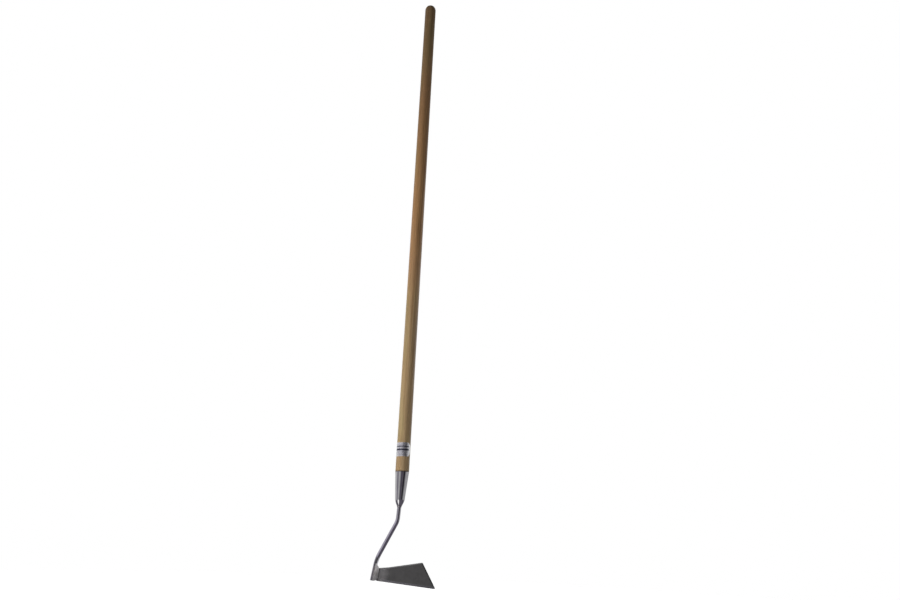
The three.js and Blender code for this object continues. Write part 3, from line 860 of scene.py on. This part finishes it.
# --------------------------------------------------------------------------------------------------
# Studio: pale floor, soft light, and the room that the bright metal mirrors.
# --------------------------------------------------------------------------------------------------
def build_floor():
    """Pale disc below the blade, which fades out into the white background."""
    radius, depth, fade_from, fade_to = 3.2, 0.06, 0.8, 2.4

    def shape_floor(work):
        bmesh.ops.create_circle(work, cap_ends=True, segments=128, radius=radius)
        bmesh.ops.translate(work, vec=(0, 0, cad_box[0].z - depth), verts=work.verts)

    mesh = bpy.data.meshes.new("studio_floor")
    edit_mesh(mesh, shape_floor)
    floor = link_object("studio_floor", mesh)
    material = bpy.data.materials.new("pale_floor")
    tree = empty_tree(material)
    place = add_node(tree, "TexCoord").outputs["Object"]
    distance = add_node(tree, "VectorMath", {0: scaled(tree, place, (1, 1, 0))},
                        operation="LENGTH").outputs["Value"]
    paper = add_node(tree, "BsdfDiffuse", {"Color": (0.80, 0.80, 0.80, 1)})
    # The camera sees the floor nearly white all over, with the softest of shadows.
    seen = add_node(tree, "LightPath").outputs["Is Camera Ray"]
    glow = add_node(tree, "Emission", {"Color": (1, 1, 1, 1),
                                       "Strength": calc(tree, "MULTIPLY", seen, 0.93)})
    lit = add_node(tree, "AddShader", {0: paper.outputs[0], 1: glow.outputs[0]})
    clear = add_node(tree, "BsdfTransparent")
    blend = add_node(tree, "MixShader", {0: map_range(tree, distance, fade_from, fade_to),
                                         1: lit.outputs[0], 2: clear.outputs[0]})
    add_node(tree, "OutputMaterial", {0: blend.outputs[0]})
    mesh.materials.append(material)
    floor.visible_glossy = False


def area_light(name, place, aim, size, power, colour=(1, 1, 1)):
    """Soft rectangular light that neither the camera nor the metal sees."""
    data = bpy.data.lights.new(name, "AREA")
    data.shape = "RECTANGLE"
    data.size, data.size_y = size
    data.energy = power
    data.color = colour
    light = link_object(name, data)
    light.location = place
    light.rotation_mode = "QUATERNION"
    light.rotation_quaternion = (Vector(aim) - Vector(place)).to_track_quat("-Z", "Y")
    light.visible_camera = False
    light.visible_glossy = False


def build_world():
    """White to the eye. The metal mirrors a made-up room: pale walls to the sides with a dark gap
    at the left and a dark corner at the right front, windows above them, a dim ceiling, and a
    dark ground with one soft lamp."""
    world = bpy.data.worlds.new("studio")
    scene.world = world
    tree = empty_tree(world)
    direction = add_node(tree, "TexCoord").outputs["Generated"]
    x, y, z = add_node(tree, "SeparateXYZ", {0: direction}).outputs
    azimuth = calc(tree, "ARCTAN2", x, calc(tree, "MULTIPLY", y, -1))
    turn = calc(tree, "MULTIPLY_ADD", azimuth, 1 / (2 * math.pi), 0.5)

    def around(*stops):
        """Colour by azimuth, from (degrees, colour or grey). 0 is towards -Y and 90 towards +X."""
        return ramp(tree, turn, [((degrees + 180) / 360, colour) for degrees, colour in stops])

    gap, front = (0.17, 0.15, 0.21), (0.075, 0.065, 0.095)
    walls = around(
        (-180, 0.59), (-101, 0.60), (-92, 0.53), (-81, 0.38), (-72, gap), (-64, gap), (-52, 0.41),
        (-42, 0.47), (-30, 0.47), (-22, 0.34), (-12, 0.16), (-5, front), (4, (0.085, 0.075, 0.105)),
        (24, (0.13, 0.12, 0.13)), (32, 0.05), (46, (0.016, 0.012, 0.028)), (57, 0.03), (66, 0.22),
        (76, 0.36), (95, 0.45), (119, 0.48), (135, 0.38), (180, 0.59))
    pane = (0.44, 0.42, 0.48)
    windows = around(
        (-180, (0.48, 0.46, 0.50)), (-66, (0.57, 0.55, 0.60)), (-45, pane), (-22, pane),
        (-8, (0.13, 0.13, 0.14)), (16, 0.09), (32, 0.025), (57, 0.03), (76, 0.36), (95, 0.50),
        (116, 1.5), (146, 1.5), (165, 0.55))
    ceiling = around((-180, 0.30), (-120, 0.16), (-60, 0.09), (0, 0.12), (45, 0.05), (150, 0.05),
                     (180, 0.30))
    lamp = Vector((-0.52, -0.69, -0.50)).normalized()
    to_lamp = add_node(tree, "VectorMath", {0: direction, 1: lamp}, operation="DOT_PRODUCT")
    ground = mix_colour(tree, map_range(tree, to_lamp.outputs["Value"], 0.93, 0.975),
                        (0.12, 0.11, 0.135), (1.3, 1.3, 1.25))
    room = mix_colour(tree, map_range(tree, z, 0.09, 0.24), walls, windows)
    room = mix_colour(tree, map_range(tree, z, 0.46, 0.62), room, ceiling)
    room = mix_colour(tree, map_range(tree, z, -0.16, -0.30), room, ground)

    paths = add_node(tree, "LightPath")
    soft = add_node(tree, "Background", {"Color": (0.92, 0.96, 1.0, 1), "Strength": 0.09})
    mirrored = add_node(tree, "Background", {"Color": room, "Strength": 1.0})
    white = add_node(tree, "Background", {"Color": (1, 1, 1, 1), "Strength": 1.0})
    unseen = add_node(tree, "MixShader", {
        0: paths.outputs["Is Diffuse Ray"], 1: mirrored.outputs[0], 2: soft.outputs[0]})
    seen = add_node(tree, "MixShader", {
        0: paths.outputs["Is Camera Ray"], 1: unseen.outputs[0], 2: white.outputs[0]})
    add_node(tree, "OutputWorld", {0: seen.outputs[0]})


def build_camera():
    """Low view from in front: the camera stands level with the blade and looks up the handle."""
    pitch, roll, yaw = math.radians(21.284), math.radians(2.24), math.radians(0.062)
    turn = Matrix.Rotation(yaw, 3, "Z")
    forward = turn @ Vector((0, math.cos(pitch), math.sin(pitch)))
    up = turn @ Vector((0, -math.sin(pitch), math.cos(pitch)))
    right = turn @ Vector((1, 0, 0))
    axis_x = right * math.cos(roll) + up * math.sin(roll)
    axis_y = -right * math.sin(roll) + up * math.cos(roll)
    place = Matrix((axis_x, axis_y, -forward)).transposed().to_4x4()
    place.translation = (0.08782, -1.40532, MOUTH - 0.15552)
    data = bpy.data.cameras.new("camera")
    data.sensor_width = 36
    data.lens = 26
    data.clip_start, data.clip_end = 0.05, 60
    camera = link_object("camera", data)
    camera.matrix_world = place
    scene.camera = camera


build_floor()
build_world()
build_camera()
area_light("key", (-1.13, -0.53, -1.10), (0, 0, -1.0), (0.7, 0.9), 12, (1.0, 0.98, 0.95))
area_light("fill", (0.2, -1.3, -1.25), (0, 0, -1.0), (0.9, 0.6), 3, (1.0, 0.98, 0.96))
area_light("back", (0.9, 1.5, -0.2), (0, 0, -0.6), (1.4, 1.6), 8)
scene.view_settings.view_transform = "Standard"
scene.view_settings.look = "None"
